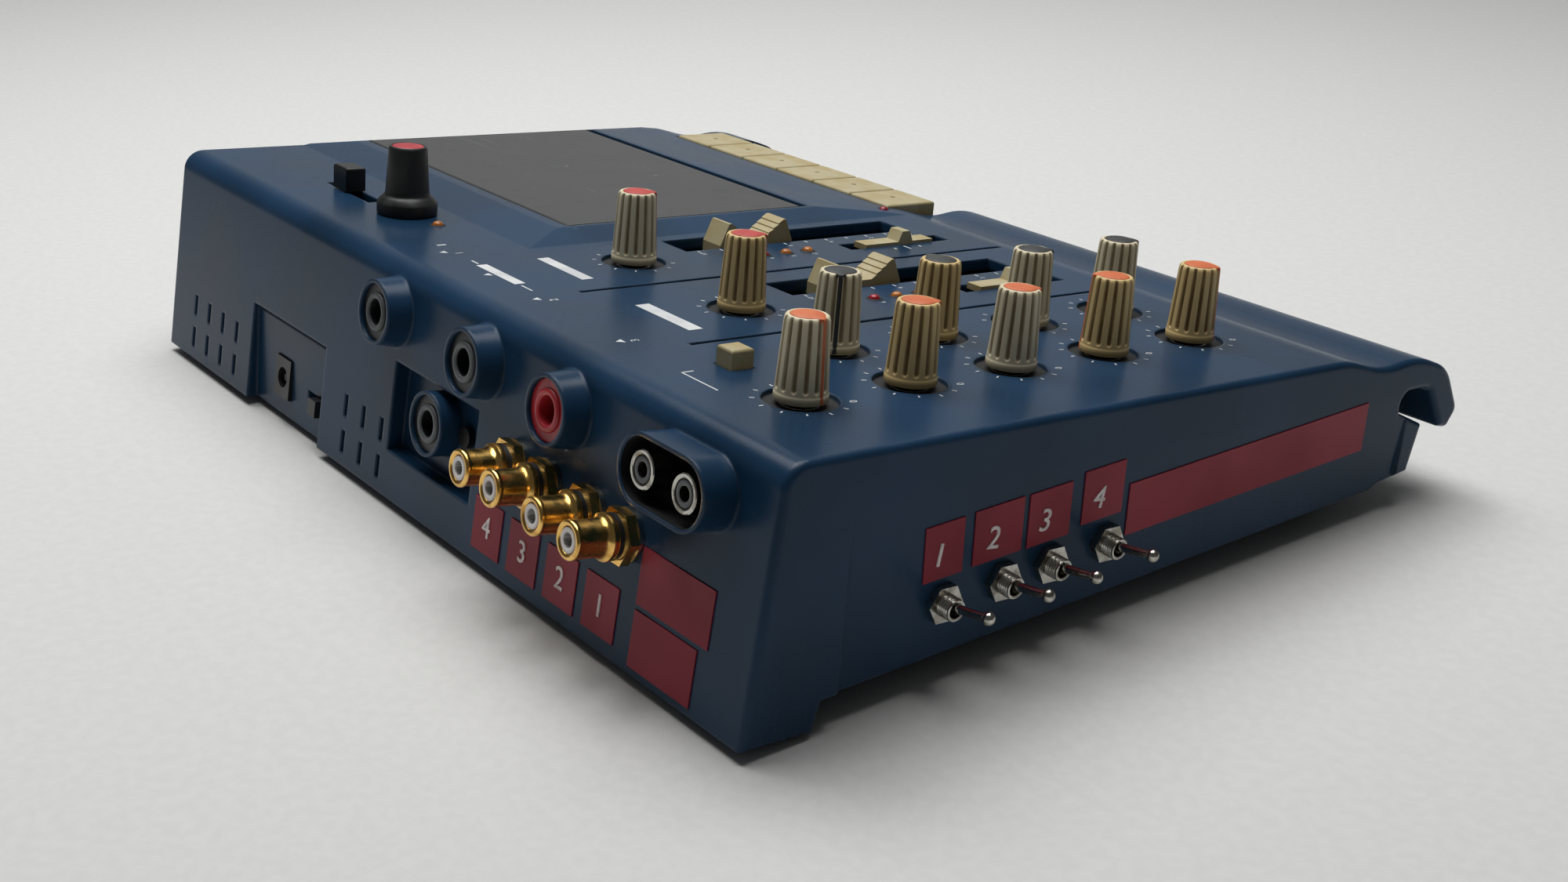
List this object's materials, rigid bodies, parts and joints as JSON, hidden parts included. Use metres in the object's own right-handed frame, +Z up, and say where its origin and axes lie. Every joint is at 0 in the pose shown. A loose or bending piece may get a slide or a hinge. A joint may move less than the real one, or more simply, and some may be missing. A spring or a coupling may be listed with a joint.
{
  "type": "portable cassette multitrack recorder",
  "caption": "Small sloped tape recorder and mixer with faders, beige knobs, piano keys under a smoked lid, rear sockets and side toggle switches.",
  "frame": {"origin": "middle of the underside of the whole recorder, on the table", "axes": "+X to the user's right, +Y away from the user, +Z up from the table"},
  "size_m": [0.3166, 0.2376, 0.0781],
  "materials": {
    "case_plastic": "satin blue, fine grain",
    "smoked_lid": "smoked, gloss",
    "beige_plastic": "satin beige",
    "black_plastic": "black, matte",
    "rubber": "black, matte",
    "steel": "bright plated",
    "nickel": "nickel plated",
    "gold": "gold plated",
    "board": "fibre laminate",
    "red_plastic": "red",
    "tape": "dark red embossed strip"
  },
  "bodies": {
    "case": {"top_cover": "case_plastic", "bottom_case": "case_plastic", "rubber_feet": "rubber", "case_screws": "steel", "cassette_well": "black_plastic", "transport_chassis": "steel", "drive_motor": "steel", "main_board": "board", "jack_board": "board", "control_bodies": "black_plastic", "input_jacks": "black_plastic", "phones_jack": "red_plastic", "line_out_jacks": "nickel", "dc_inlet": "black_plastic", "rca_shells": "gold", "rca_insulators": "black_plastic", "rca_washers": "gold", "rca_nuts": "gold", "toggle_switches": "nickel", "toggle_nuts": "nickel", "panel_leds": "red_plastic", "label_plates": "tape"},
    "bridge": {"head_bridge": "steel", "tape_head": "steel", "erase_head": "black_plastic"},
    "cassette_lid": {"cassette_lid": "smoked_lid"},
    "motor_pulley": {"motor_pulley": "steel"},
    "capstan_flywheel": {"capstan_flywheel": "steel"},
    "supply_spindle": {"supply_spindle": "black_plastic"},
    "takeup_spindle": {"takeup_spindle": "black_plastic"},
    "pinch_roller": {"pinch_roller": "rubber"},
    "record_key": {"record_key": "beige_plastic"},
    "play_key": {"play_key": "beige_plastic"},
    "rewind_key": {"rewind_key": "beige_plastic"},
    "forward_key": {"forward_key": "beige_plastic"},
    "stop_key": {"stop_key": "beige_plastic"},
    "pause_key": {"pause_key": "beige_plastic"},
    "phones_knob": {"phones_knob": "beige_plastic"},
    "level_knob_1": {"level_knob_1": "beige_plastic"},
    "level_knob_2": {"level_knob_2": "beige_plastic"},
    "level_knob_3": {"level_knob_3": "beige_plastic"},
    "level_knob_4": {"level_knob_4": "beige_plastic"},
    "pan_knob_1": {"pan_knob_1": "beige_plastic"},
    "pan_knob_2": {"pan_knob_2": "beige_plastic"},
    "pan_knob_3": {"pan_knob_3": "beige_plastic"},
    "pan_knob_4": {"pan_knob_4": "beige_plastic"},
    "trim_knob_1": {"trim_knob_1": "beige_plastic"},
    "trim_knob_2": {"trim_knob_2": "beige_plastic"},
    "pitch_knob": {"pitch_knob": "black_plastic"},
    "fader_cap_1": {"fader_cap_1": "beige_plastic"},
    "fader_cap_2": {"fader_cap_2": "beige_plastic"},
    "input_switch_1": {"input_switch_1": "beige_plastic"},
    "input_switch_2": {"input_switch_2": "beige_plastic"},
    "mono_button": {"mono_button": "beige_plastic"},
    "speed_switch": {"speed_switch": "black_plastic"},
    "power_slide": {"power_slide": "black_plastic"},
    "toggle_lever_1": {"toggle_lever_1": "nickel"},
    "toggle_lever_2": {"toggle_lever_2": "nickel"},
    "toggle_lever_3": {"toggle_lever_3": "nickel"},
    "toggle_lever_4": {"toggle_lever_4": "nickel"}
  },
  "joints": [
    {"name": "lid_hinge", "type": "hinge", "parent": "case", "child": "cassette_lid", "pos_m": [0.08732, 0.0407, 0.05715], "axis": [-1, 0, 0], "range_deg": [0, 75]},
    {"name": "record_key_pivot", "type": "hinge", "parent": "case", "child": "record_key", "pos_m": [0.03632, -0.05015, 0.03814], "axis": [1, 0, 0], "range_deg": [0, 7], "stiffness_Nm_per_rad": 0.2, "springref_deg": -2.86},
    {"name": "play_key_pivot", "type": "hinge", "parent": "case", "child": "play_key", "pos_m": [0.05532, -0.05015, 0.03814], "axis": [1, 0, 0], "range_deg": [0, 7], "stiffness_Nm_per_rad": 0.2, "springref_deg": -2.86},
    {"name": "rewind_key_pivot", "type": "hinge", "parent": "case", "child": "rewind_key", "pos_m": [0.07432, -0.05015, 0.03814], "axis": [1, 0, 0], "range_deg": [0, 7], "stiffness_Nm_per_rad": 0.2, "springref_deg": -2.86},
    {"name": "forward_key_pivot", "type": "hinge", "parent": "case", "child": "forward_key", "pos_m": [0.09332, -0.05015, 0.03814], "axis": [1, 0, 0], "range_deg": [0, 7], "stiffness_Nm_per_rad": 0.2, "springref_deg": -2.86},
    {"name": "stop_key_pivot", "type": "hinge", "parent": "case", "child": "stop_key", "pos_m": [0.11232, -0.05015, 0.03814], "axis": [1, 0, 0], "range_deg": [0, 7], "stiffness_Nm_per_rad": 0.2, "springref_deg": -2.86},
    {"name": "pause_key_pivot", "type": "hinge", "parent": "case", "child": "pause_key", "pos_m": [0.13132, -0.05015, 0.03814], "axis": [1, 0, 0], "range_deg": [0, 7], "stiffness_Nm_per_rad": 0.2, "springref_deg": -2.86},
    {"name": "bridge_slide", "type": "slide", "parent": "case", "child": "bridge", "axis": [0, 0.9954, 0.0954], "range_m": [0, 0.0045]},
    {"name": "pinch_roller_spin", "type": "hinge", "parent": "bridge", "child": "pinch_roller", "pos_m": [0.10832, -0.03817, 0.04833], "axis": [0, -0.0954, 0.9954], "continuous": true},
    {"name": "flywheel_spin", "type": "hinge", "parent": "case", "child": "capstan_flywheel", "pos_m": [0.10832, -0.02702, 0.0494], "axis": [0, -0.0954, 0.9954], "continuous": true},
    {"name": "pulley_spin", "type": "hinge", "parent": "case", "child": "motor_pulley", "pos_m": [0.04832, 0.02415, 0.0543], "axis": [0, -0.0954, 0.9954], "continuous": true},
    {"name": "supply_spin", "type": "hinge", "parent": "case", "child": "supply_spindle", "pos_m": [0.06607, 0.00374, 0.05235], "axis": [0, -0.0954, 0.9954], "continuous": true},
    {"name": "takeup_spin", "type": "hinge", "parent": "case", "child": "takeup_spindle", "pos_m": [0.10857, 0.00374, 0.05235], "axis": [0, -0.0954, 0.9954], "continuous": true},
    {"name": "phones_knob_turn", "type": "hinge", "parent": "case", "child": "phones_knob", "pos_m": [-0.11268, 0.07053, 0.05875], "axis": [0, 0.0954, -0.9954], "range_deg": [-51, 249]},
    {"name": "level_knob_1_turn", "type": "hinge", "parent": "case", "child": "level_knob_1", "pos_m": [-0.11268, 0.04067, 0.05589], "axis": [0, 0.0954, -0.9954], "range_deg": [0, 300]},
    {"name": "level_knob_2_turn", "type": "hinge", "parent": "case", "child": "level_knob_2", "pos_m": [-0.11268, 0.01081, 0.05303], "axis": [0, 0.0954, -0.9954], "range_deg": [0, 300]},
    {"name": "level_knob_3_turn", "type": "hinge", "parent": "case", "child": "level_knob_3", "pos_m": [-0.11268, -0.01906, 0.05016], "axis": [0, 0.0954, -0.9954], "range_deg": [-187, 113]},
    {"name": "level_knob_4_turn", "type": "hinge", "parent": "case", "child": "level_knob_4", "pos_m": [-0.11268, -0.04892, 0.0473], "axis": [0, 0.0954, -0.9954], "range_deg": [-30, 270]},
    {"name": "pan_knob_1_turn", "type": "hinge", "parent": "case", "child": "pan_knob_1", "pos_m": [-0.08618, 0.04067, 0.05589], "axis": [0, 0.0954, -0.9954], "range_deg": [-98, 202]},
    {"name": "pan_knob_2_turn", "type": "hinge", "parent": "case", "child": "pan_knob_2", "pos_m": [-0.08618, 0.01081, 0.05303], "axis": [0, 0.0954, -0.9954], "range_deg": [-240, 60]},
    {"name": "pan_knob_3_turn", "type": "hinge", "parent": "case", "child": "pan_knob_3", "pos_m": [-0.08618, -0.01906, 0.05016], "axis": [0, 0.0954, -0.9954], "range_deg": [-5, 295]},
    {"name": "pan_knob_4_turn", "type": "hinge", "parent": "case", "child": "pan_knob_4", "pos_m": [-0.08618, -0.04892, 0.0473], "axis": [0, 0.0954, -0.9954], "range_deg": [-5, 295]},
    {"name": "trim_knob_1_turn", "type": "hinge", "parent": "case", "child": "trim_knob_1", "pos_m": [-0.05028, 0.04047, 0.05587], "axis": [0, 0.0954, -0.9954], "range_deg": [0, 300]},
    {"name": "trim_knob_2_turn", "type": "hinge", "parent": "case", "child": "trim_knob_2", "pos_m": [-0.00308, 0.04047, 0.05587], "axis": [0, 0.0954, -0.9954], "range_deg": [0, 300]},
    {"name": "pitch_knob_turn", "type": "hinge", "parent": "case", "child": "pitch_knob", "pos_m": [0.06312, 0.07113, 0.05881], "axis": [0, 0.0954, -0.9954], "range_deg": [-150, 150]},
    {"name": "fader_1_slide", "type": "slide", "parent": "case", "child": "fader_cap_1", "axis": [0, 0.9954, 0.0954], "range_m": [-0.035, 0.01]},
    {"name": "input_switch_1_slide", "type": "slide", "parent": "case", "child": "input_switch_1", "axis": [0, 0.9954, 0.0954], "range_m": [-0.0048, 0.0048]},
    {"name": "fader_2_slide", "type": "slide", "parent": "case", "child": "fader_cap_2", "axis": [0, 0.9954, 0.0954], "range_m": [-0.035, 0.01]},
    {"name": "input_switch_2_slide", "type": "slide", "parent": "case", "child": "input_switch_2", "axis": [0, 0.9954, 0.0954], "range_m": [-0.0048, 0.0048]},
    {"name": "speed_switch_slide", "type": "slide", "parent": "case", "child": "speed_switch", "axis": [1, 0, 0], "range_m": [-0.012, 0.006]},
    {"name": "mono_button_press", "type": "slide", "parent": "case", "child": "mono_button", "axis": [0, 0.0954, -0.9954], "range_m": [0, 0.0025], "stiffness_N_per_m": 300, "springref_m": -0.001},
    {"name": "power_slide_slide", "type": "slide", "parent": "case", "child": "power_slide", "axis": [1, 0, 0], "range_m": [0, 0.004]},
    {"name": "toggle_1_tilt", "type": "hinge", "parent": "case", "child": "toggle_lever_1", "pos_m": [-0.14434, 0.05648, 0.01987], "axis": [0, -0.9954, -0.0954], "range_deg": [0, 24]},
    {"name": "toggle_2_tilt", "type": "hinge", "parent": "case", "child": "toggle_lever_2", "pos_m": [-0.14442, 0.03979, 0.02003], "axis": [0, -0.9954, -0.0954], "range_deg": [0, 24]},
    {"name": "toggle_3_tilt", "type": "hinge", "parent": "case", "child": "toggle_lever_3", "pos_m": [-0.14449, 0.02591, 0.02016], "axis": [0, -0.9954, -0.0954], "range_deg": [0, 24]},
    {"name": "toggle_4_tilt", "type": "hinge", "parent": "case", "child": "toggle_lever_4", "pos_m": [-0.14458, 0.00892, 0.02032], "axis": [0, -0.9954, -0.0954], "range_deg": [0, 24]}
  ],
  "couplings": [
    {"joint": "bridge_slide", "follows": "play_key_pivot", "m_per_rad": 0.036829},
    {"joint": "pulley_spin", "follows": "flywheel_spin", "ratio": 5.9375}
  ]
}
